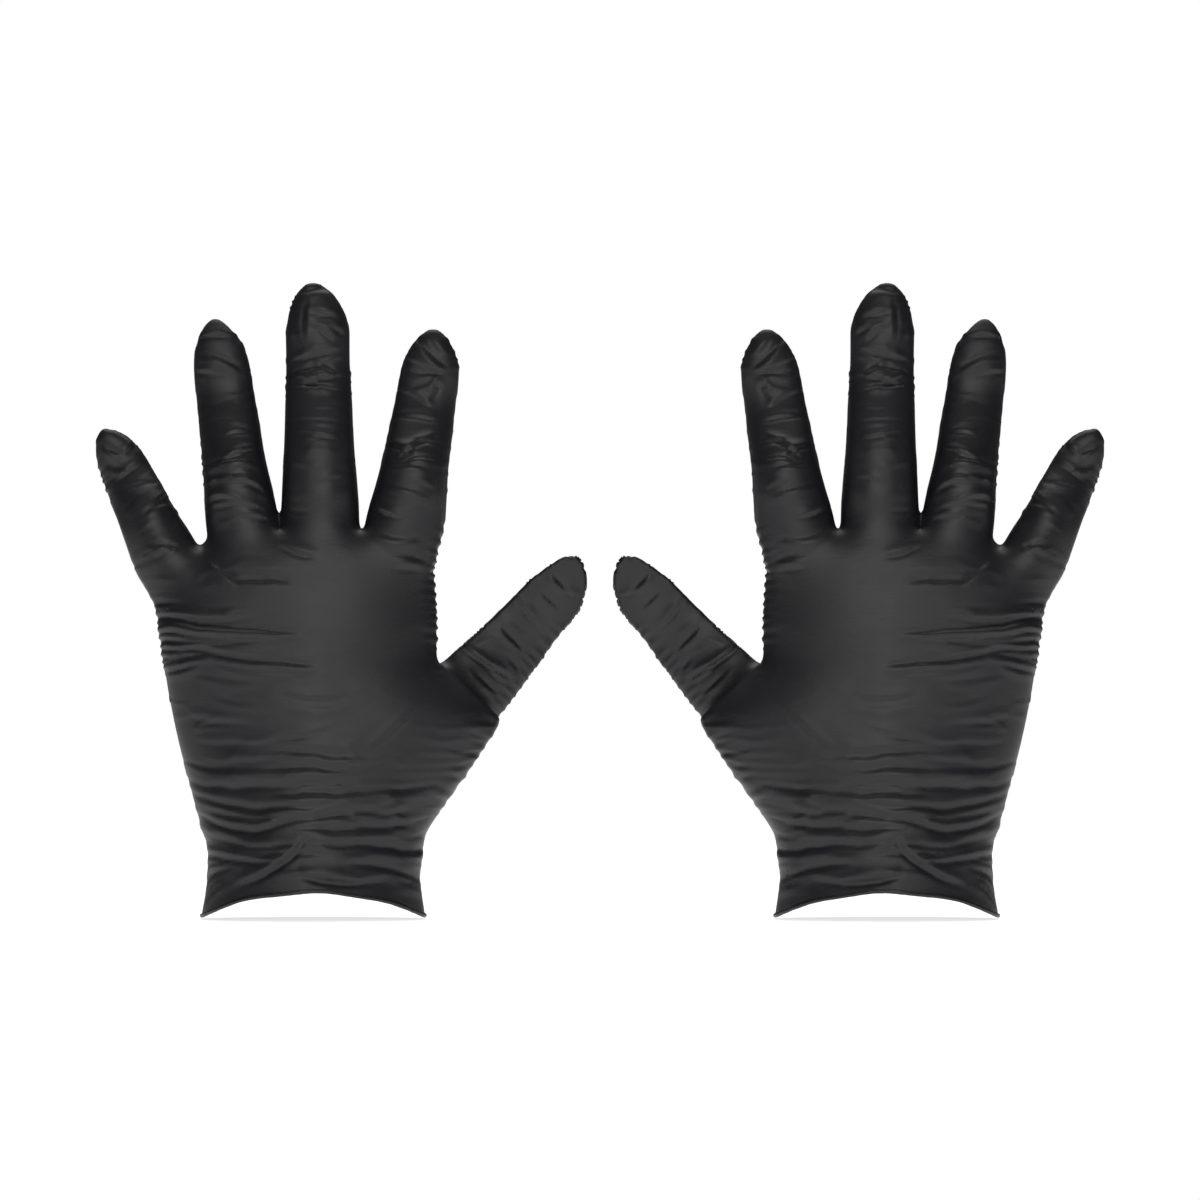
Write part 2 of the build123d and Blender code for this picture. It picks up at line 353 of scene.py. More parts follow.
def melt(meshes):
    bm = bmesh.new()
    for mesh in meshes:
        bm.from_mesh(mesh)
    joined = bpy.data.meshes.new("forms")
    bm.to_mesh(joined)
    bm.free()
    obj = bpy.data.objects.new("forms", joined)
    bpy.context.scene.collection.objects.link(obj)
    remesh = obj.modifiers.new("skin", "REMESH")
    remesh.mode = "VOXEL"
    remesh.voxel_size = GRID
    smooth = obj.modifiers.new("webs", "SMOOTH")
    smooth.factor = 0.5
    smooth.iterations = round(WEB_ROUNDING * (WEB_GRID / GRID) ** 2)
    mesh = evaluated(obj)
    bpy.data.objects.remove(obj)
    return mesh


skin = melt(forms)
print("skin:", len(skin.vertices), "vertices")


# %% [markdown]
# ### Easing the knuckles and the thumb's root
# Where a finger's root sinks into the palm its outline still shows on the back, like a toe under
# a sheet. Film drawn over a hand spans such steps. So the broad faces are relaxed further there,
# each point towards the middle of its neighbours, while the outline and the webs are left alone.
# Only where the thumb leaves the palm is the outline's corner relaxed too, more gently.

# %% Soft steps, and a relaxation where it's wanted
def read_normals(mesh):
    flat = np.empty(len(mesh.vertices) * 3)
    mesh.vertex_normals.foreach_get("vector", flat)
    return flat.reshape(-1, 3)


def ease(low, high, value):
    """0 below low and 1 above high, with a soft step between."""
    t = np.clip((value - low) / (high - low), 0, 1)
    return t * t * (3 - 2 * t)


def bump(middle, spread, value):
    """1 at the middle, falling away over the spread on both sides."""
    return np.exp(-(((value - middle) / spread) ** 2))


def relax(mesh, amount, rounds):
    edges = np.empty(len(mesh.edges) * 2, int)
    mesh.edges.foreach_get("vertices", edges)
    a, b = edges.reshape(-1, 2).T
    points = read_points(mesh)
    count = np.bincount(a, minlength=len(points)) + np.bincount(b, minlength=len(points))
    for _ in range(rounds):
        for k in range(3):
            column = points[:, k]
            total = np.bincount(a, column[b], len(points)) + np.bincount(b, column[a], len(points))
            column += 0.5 * amount * (total / count - column)
    write_points(mesh, points)


RELAXING = 220  # rounds on a grid of RELAX_GRID
RELAX_GRID = 0.8 * MM
CORNER_SHARE = 0.4  # how strongly the corner beside the thumb is relaxed
points, normals = read_points(skin), read_normals(skin)
broad = ease(0.3, 0.75, np.abs(normals[:, 1]))
knuckle_band = ease(96, 104, points[:, 2] / MM) * (1 - ease(132, 142, points[:, 2] / MM))
from_thumb = np.linalg.norm(points - DIGITS["thumb"]["centres"][0], axis=1) / MM
around_thumb = 1 - ease(24, 38, from_thumb)
from_corner = np.linalg.norm(points - thumb_side, axis=1) / MM
corner = CORNER_SHARE * (1 - ease(9, 22, from_corner))
mask = np.maximum(broad * np.maximum(knuckle_band, around_thumb), corner)
relax(skin, mask, round(RELAXING * (RELAX_GRID / GRID) ** 2))
print("relaxed around the knuckles and the thumb's root")


# %% [markdown]
# ## Cutting the cuff
# The film ends at the wrist in an edge that rises in an arch at the back and the front and
# dips to a point at each side. Cutting along a curve would leave stair steps in the squares, so
# the cut is made level and clean, and the edge is then drawn down into its arch.

# %% A level cut, drawn into an arch
CUT_Z = 9.5 * MM
EDGE_LOW = 0.9 * MM  # lowest place of the film, just inside the rolled edge
DRAW_HEIGHT = 20 * MM


def edge_height(x):
    """Height of the cuff's edge at a place across the wrist."""
    reach = np.clip((x - CUFF_X) / mouth_half, -1, 1)
    uneven = 0.35 * MM * np.sin(9 * reach + 1.0)
    return EDGE_LOW + ARCH * (1 - np.abs(reach) ** 2.3) + uneven * (1 - reach**2)


def cut_cuff(mesh):
    bm = bmesh.new()
    bm.from_mesh(mesh)
    everything = bm.verts[:] + bm.edges[:] + bm.faces[:]
    level = (0, 0, CUT_Z)
    bmesh.ops.bisect_plane(bm, geom=everything, plane_co=level, plane_no=(0, 0, -1), clear_outer=True)
    near_cut = [v for v in bm.verts if v.co.z < CUT_Z + GRID]
    bmesh.ops.remove_doubles(bm, verts=near_cut, dist=GRID * 0.3)
    bm.to_mesh(mesh)
    bm.free()


cut_cuff(skin)
points = read_points(skin)
near = np.clip(1 - (points[:, 2] - CUT_Z) / DRAW_HEIGHT, 0, 1) ** 2
points[:, 2] += (edge_height(points[:, 0]) - CUT_Z) * near
write_points(skin, points)
print("cuff edge from", round(points[:, 2].min() / MM, 1), "mm")

# %% [markdown]
# ## Folds in the film
# The folds are what makes a glove look like thin film and not like paint on a hand. Real ones
# form where there is spare length: across the knuckles, at the tips, along the little finger's
# side and round the wrist, while the middle of the back stays drawn smooth. They are made by moving
# every point of the skin in or out. Each fold that matters is listed with its two
# ends, a bow, a depth and a width, and fine wrinkles fill in between. Cloth simulation would
# give folds too, but nobody could say where.

# %% Smooth noise on a seeded grid
CELLS = 64
lattice = np.random.default_rng(11).uniform(-1, 1, (CELLS, CELLS, CELLS))


def noise(p, shift=0):
    """Soft random values from -1 to 1 for points p, with about one swing per unit."""
    p = p + shift * 7.31
    low = np.floor(p).astype(int)
    f = p - low
    f = f * f * (3 - 2 * f)
    total = np.zeros(len(p))
    for dx in (0, 1):
        for dy in (0, 1):
            for dz in (0, 1):
                value = lattice[(low[:, 0] + dx) % CELLS, (low[:, 1] + dy) % CELLS, (low[:, 2] + dz) % CELLS]
                wx = f[:, 0] if dx else 1 - f[:, 0]
                wy = f[:, 1] if dy else 1 - f[:, 1]
                wz = f[:, 2] if dz else 1 - f[:, 2]
                total += value * wx * wy * wz
    return total

# %% [markdown]
# ### One fold
# A fold runs between two points that are given across and up a finger, in millimetres. It
# fades at its ends and bows to one side. Its section is lopsided, a raised lip beside a
# groove, as film makes when it laps over itself, because a plain ridge looks like a scar.

# %% Drawing a fold
def fold(across, up, start, end, bow, depth, width):
    """Height of one fold at each point. Across, up, start and end are in millimetres."""
    a0, u0 = start
    a1, u1 = end
    length = np.hypot(a1 - a0, u1 - u0)
    along = ((across - a0) * (a1 - a0) + (up - u0) * (u1 - u0)) / length
    aside = ((up - u0) * (a1 - a0) - (across - a0) * (u1 - u0)) / length
    share = np.clip(along / length, 0, 1)
    aside = aside - bow * 4 * share * (1 - share)
    fade = np.clip(np.sin(pi * share), 0, 1) ** 0.7
    width = width * (0.7 + 0.5 * fade)
    side = 1 if sin(12.9 * a0 + 7.7 * u0) > -0.4 else -1
    s = side * aside / width
    lip = np.where(s > 0.5, bump(0.5, 1.7, s), bump(0.5, 0.75, s))
    groove = bump(-0.85, 0.6, s)
    return depth * fade * (lip - 0.9 * groove)


def folds(across, up, rows):
    """Several folds together. A row is a fold's two ends, its bow, its depth and its width."""
    total = np.zeros(len(up))
    for a0, u0, a1, u1, bow, depth, width in rows:
        total += fold(across, up, (a0, u0), (a1, u1), bow, depth, width)
    return total


def arcs(across, up, heights, reach, bow, depth, width):
    """Folds straight across a finger, one at each height, each a little different."""
    total = np.zeros(len(up))
    for i, height in enumerate(heights):
        left = -reach * (1.0 if i % 2 else 0.45 + 0.4 * cos(5.1 * height))
        right = reach * (0.5 + 0.4 * sin(3.7 * height) if i % 2 else 1.0)
        tilt = 1.3 * sin(2.3 * height)
        change = 0.8 + 0.4 * cos(1.9 * height)
        total += fold(across, up, (left, height - tilt), (right, height + tilt), bow, depth * change, width)
    return total


def wander(a, d, u, shift=0):
    """The same points, shifted about softly so that straight folds lose their straightness."""
    p = np.stack([a, d, u], 1)
    up_shift = 2.6 * noise(p / 24, shift) + 0.8 * noise(p / 9, shift + 1) + 0.2 * noise(p / 3.5, shift + 3)
    across_shift = 2.0 * noise(p / 14, shift + 2)
    return a + across_shift, u + up_shift


# %% [markdown]
# ### Folds of each finger
# The back of each digit has its own set, written in its own measures: across from its middle
# line towards the thumb, and up from its root. Each row is one fold: where it starts, where it
# ends, its bow, depth and width. Arcs run straight across, one at each height in a list. The
# pads, which nothing has to stretch over, get quieter creases at the joints.

# %% The digits' backs
FOLDS = {
    "thumb": [
        (-11, 7, 13, 9.5, -0.6, 0.8, 0.8),
        (-3, 1.7, 11.5, 0.2, -0.6, 0.45, 0.9),
        (-1, 7, 11, 6, -0.5, 0.35, 0.8),
        (5, 12.5, 12, 11, 0.3, 0.4, 0.8),
        (-4.5, 20.5, 7, 18.5, -0.4, 0.5, 0.8),
        (-4.5, 32, 7.5, 29, -0.4, 0.5, 0.8),
        (-2.5, 46.5, 6, 44, -0.4, 0.6, 0.8),
        (4.5, 44, 9.5, 46, -0.3, 0.5, 0.7),
        (-1, 39, 8, 37.5, -0.4, 0.45, 0.8),
        (-6, 9.5, 0, 18, 0.4, 0.3, 0.8),
    ],
    "index": [
        (0, 64, 6.5, 59, -0.8, 0.4, 0.9),
        (-8, 47, 3, 41, 0.6, 0.5, 0.9),
        (-7, 58, -6.5, 50, -0.5, 0.3, 0.9),
        (1, 50, 6.5, 48, 0.5, 0.4, 0.8),
        (-4.5, 24, 6, 32, 0.5, 0.45, 0.9),
        (-8, 38, 7, 36, 0.8, 0.4, 0.9),
        (-11, 6.5, 0, 2.5, -0.7, 0.5, 1.0),
    ],
    "middle": [
        (-5.5, 76.5, 5, 77.5, 1.2, 0.6, 0.9),
        (-4.5, 62, -3, 75, 0.9, 0.28, 0.9),
        (-3.5, 72, 6.5, 68.5, 0.9, 0.5, 0.9),
        (-3.8, 67, 5.5, 61.5, 0.7, 0.45, 0.9),
        (3, 66, 8.5, 63.5, 0.5, 0.35, 0.8),
        (-7.5, 66, -5, 59, -0.4, 0.25, 0.9),
        (-9.5, 57.5, 8, 58.5, 1.0, 0.6, 0.9),
        (-8, 52, 2, 45, 0.4, 0.45, 0.9),
        (-1, 57, 7, 50, -0.4, 0.4, 0.9),
    ],
    "ring": [
        (-5.5, 63.5, 6.5, 62, 0.7, 0.6, 0.9),
        (-5, 57, 6.5, 49.5, 0.6, 0.6, 0.9),
        (-7.5, 53, 1, 48, 0.4, 0.4, 0.9),
        (0, 5, 10, 2, 0.8, 0.3, 1.0),
    ],
    "little": [
        (-6, 42.5, 0, 37, -0.5, 0.6, 0.9),
        (0, 37, 5, 41, -0.3, 0.5, 0.9),
        (-7, 36, 1, 31, -0.6, 0.55, 0.9),
        (-5, 30, 6, 33, 0.6, 0.4, 0.9),
        (-6, 6.5, 3, 0.5, 0.7, 0.35, 1.0),
    ],
}
# The index finger's tip has a fan of folds that all start at one side.
for i, (a1, u1) in enumerate([(-5, 62.5), (-7.5, 57), (-6, 51.5), (-4, 47), (1, 43)]):
    FOLDS["index"].append((6.6 - 0.8 * i, 54.5 - 0.8 * i, a1, u1, 0.9, 0.6 - 0.05 * i, 0.9))
ARCS = {
    "thumb": [([14.5, 24.5, 35], 8, -0.6, 0.2, 0.8)],
    "index": [([29, 26.5, 23, 20.5, 15.5, 12.5], 9, 0.9, 0.38, 0.75), ([8.5, 5], 9.5, 0.6, 0.18, 1.0)],
    "middle": [
        ([55, 52.5, 49.5, 46], 9.8, 0.5, 0.5, 0.85),
        ([37.5, 34.5, 32, 29.5, 24.5, 18, 14], 9.5, 0.9, 0.3, 0.75),
    ],
    "ring": [
        ([38, 34.5, 30], 8.5, 1.0, 0.28, 0.8),
        ([23, 20.5, 18, 15.5, 13, 10, 7.5], 9.5, 1.2, 0.45, 0.75),
    ],
    "little": [([26, 20, 16.5, 12], 7.5, 0.8, 0.22, 0.8), ([3.5], 9, 0.6, 0.2, 1.0)],
}


def digit_back(name, a, u):
    """Height of the folds on the back of one digit."""
    height = folds(a, u, FOLDS[name])
    for row in ARCS[name]:
        height += arcs(a, u, *row)
    return height


print("folds on the digits' backs:", {name: len(rows) for name, rows in FOLDS.items()})

# %% [markdown]
# ### Folds of the hand
# Across the hand the folds are longer. The strongest bunch lies on the little finger's side
# below its knuckle, then finer ones follow down to the wrist, where the film slides and stacks
# into long waves. One slanting line and a row of short ones show the pull towards the thumb.
# Across is measured from the middle of the cuff, and up from the floor.

# %% The back of the hand and the cuff
HAND_FOLDS = [
    (-36, 119, -24, 113, 0.6, 0.6, 1.1),
    (-27, 113.5, -6, 112, 0.9, 0.45, 1.2),
    (19, 129.5, 36, 126, -1.2, 0.5, 1.1),
    (24, 122, 39, 119, -0.6, 0.3, 1.1),
    (-12, 125.5, 1, 121, -0.8, 0.4, 1.1),
    (-28, 119, -8, 116, 0.7, 0.25, 1.2),
    (4, 133, 17, 129, 1.0, 0.35, 1.1),
    (26, 116.5, 37, 117, 0.5, 0.3, 1.0),
]
# Left end, right end, height, how far the right end lies above the left one, and depth.
FINE_ACROSS = [
    (-56, -18, 104, -2, 0.75), (-55, -3, 101, -4.5, 0.95), (-54, -10, 98, -3, 0.8),
    (-53, -24, 95.5, -2, 0.7), (-52, -30, 92, 0, 0.6), (-46, -12, 91, -1, 0.5),
    (-38, 2, 88, -2, 0.7), (-51, -34, 86, 1, 0.5), (-33, -6, 84.5, -1.5, 0.4),
    (-9, 12, 76.5, -0.5, 0.35), (-40, -18, 79, 0.5, 0.25), (-50, -38, 82, 1, 0.4),
    (-34, -10, 73, -1, 0.25), (-8, 12, 72, 1, 0.2), (-40, -18, 67, 0, 0.3),
    (-24, 7, 58.5, 7, 0.35), (-24, 20, 60, -2.5, 0.35), (-40, -14, 60.5, 0, 0.25),
    (-28, 24, 56.5, -2, 0.4), (-38, -6, 54, 1, 0.3), (-14, 26, 53, 1, 0.3),
    (-45, -16, 51.5, -1, 0.4), (-28, 12, 50, 0.5, 0.4), (17, 37, 57.5, 15, 0.25),
]
WRIST_WAVES = [
    (-43, 20, 47, 2, 0.8), (-42, 8, 43, -2.5, 0.9), (-14, 47, 42, 3, 0.85),
    (-41, 44, 38, 1, 0.8), (-40, -2, 34.5, 1.5, 1.0), (-8, 43, 33, 2, 0.9),
    (-39, 40, 29.5, -1, 0.75),
]
CUFF_FOLDS = [
    (-25, 12.5, -4, 27.5, -1.5, 0.9, 1.4),
    (-5, 17.5, 23, 13, -1.6, 1.0, 1.5),
    (-36, 22, -8, 20, 1.2, 0.6, 1.2),
    (4, 24, 36, 20, 1.5, 0.7, 1.2),
    (-30, 26, 30, 25.5, -1.5, 0.5, 1.3),
    (12, 19, 35, 12, 0.8, 0.5, 1.1),
]
for left, right, z, rise, depth in FINE_ACROSS:
    HAND_FOLDS.append((left, z, right, z + rise, -0.8, depth * (1 if z > 80 else 0.75), 1.05))
for left, right, z, rise, depth in WRIST_WAVES:
    HAND_FOLDS.append((left, z, right, z + rise, -1.6, depth * 0.65, 1.4))
for i in range(9):
    z, x = 40 + 3.4 * i, 43.5 + 2.2 * i
    depth = 0.25 + 0.1 * cos(3 * i)
    HAND_FOLDS.append((x - 6 - 2 * sin(2 * i), z + 2.5, x + 5, z - 2.5, 0.4, depth, 0.9))
for side in (-1, 1):
    for i in range(6):
        start, end = side * (24 + 1.2 * i), side * 38
        CUFF_FOLDS.append((start, 13.5 + 1.9 * i, end, 4.5 + 2.6 * i, 0.8 * side, 0.32, 0.8))
print("folds on the hand:", len(HAND_FOLDS), "and on the cuff:", len(CUFF_FOLDS))

# %% [markdown]
# ### Fine wrinkles
# Between the named folds the film is never quite flat. Fine wrinkles run across the fingers
# and the hand, and fade in and out. A wrinkle is drawn where a soft noise crosses zero,
# which gives thin lines with smooth film between them. Plain noise would give lumps instead.

# %% Thin lines from noise
def wrinkles(a, d, u, size=2.0, thin=0.16, shift=0):
    """Thin crosswise lines about size millimetres apart, from 0 to 1."""
    p = np.stack([a, d, u], 1)
    bend = 2.4 * noise(p / 16, shift + 5) + 0.7 * noise(p / 6, shift + 6)
    q = np.stack([a / 13, d / 13, (u + bend) / size], 1)
    lines = np.exp(-((noise(q, shift) / thin) ** 2))
    patches = ease(-0.25, 0.45, noise(p / 9, shift + 7))
    return lines * patches


def comb(u, first, last, gap):
    """A row of short ridges along an edge, from one height to another."""
    inside = ease(first - 1, first + 1, u) * (1 - ease(last - 1, last + 1, u))
    ridge = np.cos(2 * pi * (u - first) / gap + 0.9 * np.sin(u * 0.37))
    return inside * (0.5 + 0.5 * ridge) ** 2


def digit_share(points, digit):
    """Measures of points on a digit in millimetres, and how far each belongs to it."""
    offset = (points - digit["centres"][0]) / MM
    across_dir = unit(np.array([digit["across"][0], 0, digit["across"][2]]))
    up_dir = unit(np.array([digit["up"][0], 0, digit["up"][2]]))
    a, u = offset @ across_dir, offset @ up_dir
    half = digit["widths"][0] / MM + 2.5
    inside = ease(-12 if digit["name"] == "thumb" else -6, 3, u) * (1 - ease(half, half + 2.5, np.abs(a)))
    return a, offset[:, 1], u, inside


# %% [markdown]
# ### Adding it all up
# Every point of the skin gets one height: the folds of its own digit or of the hand, the fine
# wrinkles where the film has spare length, and the pads and hollow of the palm, which the film
# only follows. The sides get more, because that's where the outline shows a comb of folds.

# %% The height of every point
def digit_height(number, digit, points, normals, facing_back, facing_palm):
    a, d, u, inside = digit_share(points, digit)
    wa, wu = wander(a, d, u, number)
    sideways = 1 - np.abs(normals[:, 1])
    joints = np.cumsum(np.linalg.norm(np.diff(digit["centres"], axis=0), axis=1)) / MM
    tip = joints[-1]
    at_joint = bump(0, 6, u)
    for mark in joints[:-1]:
        at_joint = at_joint + bump(mark, 7, u)
    near_tip = ease(tip - 24, tip - 8, u)
    fine = wrinkles(a, d, u, 2.1, 0.2, number) * (0.5 if digit["name"] == "thumb" else 1)
    height = digit_back(digit["name"], wa, wu) * facing_back
    near_tip = near_tip * (1 - ease(tip - 7, tip - 1, u))
    height += fine * (0.10 + 0.24 * at_joint + 0.2 * near_tip) * (0.5 + 0.9 * sideways)
    if digit["name"] == "thumb":
        height += 0.4 * comb(wu, -6, 34, 3.6) * ease(7, 11, a) * (1 - facing_palm)
    height += 0.18 * near_tip * noise(np.stack([a, d, u], 1) / 5.0, 3 + number)
    height -= facing_palm * arcs(wa, wu, joints[:-1], 8, -0.8, 0.5, 1.2)
    middles = (np.concatenate([[0], joints[:-1]]) + joints) / 2
    for mark in middles:
        height += 0.7 * facing_palm * bump(mark, 7, u)
    return height, inside


def hand_height(points, normals, facing_back, facing_palm):
    a, d, u = (points[:, 0] - CUFF_X) / MM, points[:, 1] / MM, points[:, 2] / MM
    wa, wu = wander(a, d, u, 9)
    sideways = 1 - np.abs(normals[:, 1])
    drawn = np.maximum(bump(14, 26, a) * bump(100, 30, u), bump(34, 20, a) * bump(68, 22, u)) * facing_back
    little_edge = ease(5, 45, -a) * bump(92, 36, u)
    index_edge = ease(30, 40, a) * ease(84, 92, u) * sideways
    thumb_edge = ease(0.1, 0.5, normals[:, 0]) * (1 - ease(84, 90, u)) * ease(26, 34, u)
    wrist = bump(38, 18, u)
    fine = wrinkles(a, d, u, 2.6, 0.2, 21)
    waves = wrinkles(a / 1.8, d / 1.8, u, 5.0, 0.35, 33)
    height = folds(wa, wu, HAND_FOLDS) * facing_back
    height += folds(wa, wu, CUFF_FOLDS) * (facing_back + 0.5 * facing_palm)
    strength = 0.08 + 0.3 * little_edge + 0.5 * index_edge + 0.3 * thumb_edge + 0.2 * wrist
    height += (fine - 0.3) * strength * (1 - 0.85 * drawn)
    height += 0.75 * comb(wu, 90, 128, 3.1) * ease(34, 41, a) * sideways
    height += 0.3 * comb(wu, 34, 66, 3.7) * ease(0.15, 0.6, normals[:, 0]) * ease(20, 30, a)
    height += 0.5 * comb(wu, 84, 106, 2.8) * ease(0.15, 0.6, -normals[:, 0]) * ease(38, 46, -a)
    height += (waves - 0.3) * (0.6 * wrist + 0.5 * bump(14, 10, u) + 0.2 * little_edge) * (1 - 0.9 * drawn)
    hollow = -2.4 * bump(-4, 22, a) * bump(82, 26, u)
    heel_pads = 1.6 * bump(-26, 16, a) * bump(58, 24, u) + 1.4 * bump(34, 18, a) * bump(62, 24, u)
    lines = wrinkles(a / 2.2, d, u + 0.25 * a, 13.0, 0.14, 41)
    height += facing_palm * (hollow + heel_pads - 0.6 * lines * bump(80, 40, u))
    return height


def film_height(points, normals):
    """How far each point of the skin stands out or in, in millimetres."""
    facing_back = ease(-0.25, 0.45, -normals[:, 1])
    facing_palm = ease(-0.1, 0.6, normals[:, 1])
    height = np.zeros(len(points))
    taken = np.zeros(len(points))
    for number, digit in enumerate(DIGITS.values()):
        own, inside = digit_height(number, digit, points, normals, facing_back, facing_palm)
        if digit["name"] == "thumb":
            inside = inside * ease(-2, 4, (points[:, 0] - index_side[0]) / MM)
        inside = np.minimum(inside, 1 - taken)
        taken += inside
        height += own * inside
    return height + hand_height(points, normals, facing_back, facing_palm) * (1 - taken)


# %% Moving the skin
SHRINK = 0.45  # the smoothing pulled the skin in by this much, in millimetres


def displace(mesh):
    points, normals = read_points(mesh), read_normals(mesh)
    height = film_height(points, normals)
    points = points + normals * ((height + SHRINK) * MM)[:, None]
    points[:, 2] = np.maximum(points[:, 2], EDGE_LOW)
    write_points(mesh, points)
    return height


fold_height = displace(skin)
print("folds from", round(fold_height.min(), 2), "to", round(fold_height.max(), 2), "mm")

# %% [markdown]
# ## Cutting the film where it bends
# On the real glove this is one film. Here it is cut into one piece for each
# hinge: a piece starts on one side of a knuckle, turns smoothly over it, and ends before the
# next. The cuts lie on planes across the finger, so both sides of a cut share the same points and
# the same shading, and the seam can't be seen.

# %% Planes across each finger
# How far above its root each digit's first cut lies, in millimetres, to stay clear of the webs.
WEB_CLEARANCE = {"thumb": 5.5, "index": 2.5, "middle": 2.5, "ring": 2.5, "little": 3.0}
BEND_ENDS = [0.72, 0.52, 0.42]  # where each hinge's bend ends, as a share of the length past it


def cut_levels(digit):
    """Heights along a digit where the film is cut, in metres above its root."""
    lengths = np.linalg.norm(np.diff(digit["centres"], axis=0), axis=1)
    starts = np.concatenate([[0], np.cumsum(lengths)[:-1]])
    ends = BEND_ENDS if len(lengths) == 3 else BEND_ENDS[:1] + BEND_ENDS[2:]
    levels = [WEB_CLEARANCE[digit["name"]] * MM]
    for start, length, share in zip(starts, lengths, ends):
        levels.append(start + length * share)
    return levels


DIGIT_MARGIN = 5 * MM  # a point further than this outside a digit's width isn't on it
CUT_BAND = 4 * MM  # only faces this near a cut are looked at


def nearest_digit(points):
    """For every point, the number of the digit it lies on, or -1, and how high up the digit."""
    best = np.full(len(points), np.inf)
    owner = np.full(len(points), -1)
    height = np.zeros(len(points))
    for number, digit in enumerate(DIGITS.values()):
        root, tip = digit["centres"][0], digit["centres"][-1]
        along = (points - root) @ digit["up"]
        reach = np.linalg.norm(tip - root)
        nearest = root + np.outer(np.clip(along, 0, reach), digit["up"])
        gap = np.linalg.norm(points - nearest, axis=1)
        closer = (gap < best) & (gap < digit["widths"][0] + DIGIT_MARGIN)
        best[closer], owner[closer], height[closer] = gap[closer], number, along[closer]
    return owner, height


def cut_skin(mesh):
    bm = bmesh.new()
    bm.from_mesh(mesh)
    for number, digit in enumerate(DIGITS.values()):
        for level in cut_levels(digit)[:-1]:
            flat = np.array([v.co for v in bm.verts])
            owner, height = nearest_digit(flat)
            chosen = (owner == number) & (np.abs(height - level) < CUT_BAND)
            bm.verts.ensure_lookup_table()
            verts = [bm.verts[i] for i in np.flatnonzero(chosen)]
            faces = {face for v in verts for face in v.link_faces}
            edges = {edge for face in faces for edge in face.edges}
            corners_too = {v for face in faces for v in face.verts}
            plane = digit["centres"][0] + digit["up"] * level
            geom = list(corners_too) + list(edges) + list(faces)
            bmesh.ops.bisect_plane(bm, geom=geom, plane_co=plane, plane_no=digit["up"], dist=1e-7)
    bm.to_mesh(mesh)
    bm.free()


cut_skin(skin)
print("skin after cutting:", len(skin.vertices), "vertices")

# %% [markdown]
# ## Making the film's pieces
# Real film is about a tenth of a millimetre thick, and here it is a little more. Each piece
# gets an inner layer with a rim at its edges, so that one looks into the cuff on film that has a
# thickness. The shading comes from the whole skin, so no seam shows between pieces. Every point
# also keeps the place it had at rest, so that the grain of the material stays on the film when a
# finger bends, and both gloves match.

# %% A piece with an outside and an inside
FILM = 0.18 * MM
skin_points = read_points(skin)
skin_normals = read_normals(skin)
skin_faces = [tuple(polygon.vertices) for polygon in skin.polygons]
face_middles = np.array([polygon.center for polygon in skin.polygons])
face_owner, face_height = nearest_digit(face_middles)


def new_piece(name, points, faces, rest):
    """A smooth piece in which every point keeps its place at rest."""
    mesh = bpy.data.meshes.new(name)
    mesh.from_pydata(points.tolist(), [], faces)
    mesh.attributes.new("rest", "FLOAT_VECTOR", "POINT").data.foreach_set("vector", rest.ravel())
    mesh.polygons.foreach_set("use_smooth", [True] * len(faces))
    piece = bpy.data.objects.new(name, mesh)
    bpy.context.scene.collection.objects.link(piece)
    return piece


def film_piece(name, chosen, side):
    """The film of the chosen faces, on the left glove (side -1) or the right one (side 1)."""
    used = sorted({v for i in chosen for v in skin_faces[i]})
    index = {v: i for i, v in enumerate(used)}
    faces = [tuple(index[v] for v in skin_faces[i]) for i in chosen]
    n = len(used)
    outer, normals = skin_points[used], skin_normals[used]
    points = np.concatenate([outer, outer - normals * FILM])
    normals = np.concatenate([normals, -normals])
    directed = {(face[i], face[(i + 1) % len(face)]) for face in faces for i in range(len(face))}
    rim = [(b, a, a + n, b + n) for a, b in directed if (b, a) not in directed]
    faces = faces + [tuple(v + n for v in reversed(face)) for face in faces] + rim
    rest = points.copy()
    if side > 0:
        points = points * [-1, 1, 1]
        normals = normals * [-1, 1, 1]
        faces = [tuple(reversed(face)) for face in faces]
    piece = new_piece(name, points, faces, rest)
    piece.data.normals_split_custom_set_from_vertices(normals.tolist())
    return piece


# %% [markdown]
# ### Riding, and standing in for the frame
# The hand and cuff ride on the glove's body. Each other piece of film stays where it was made,
# and the part of the frame it stands for is hidden.

# %% Sorting the skin into pieces
SIDES = {"left": -1, "right": 1}
hand_faces = np.ones(len(skin_faces), bool)
faces_of = {}
for number, (name, digit) in enumerate(DIGITS.items()):
    levels = cut_levels(digit)
    mine = (face_owner == number) & (face_height > levels[0])
    hand_faces &= ~mine
    step = np.searchsorted(levels[1:-1], face_height)
    for i, segment in enumerate(SEGMENTS[name]):
        faces_of[f"{name}_{segment}"] = np.flatnonzero(mine & (step == i))
print({name: len(faces) for name, faces in faces_of.items()})
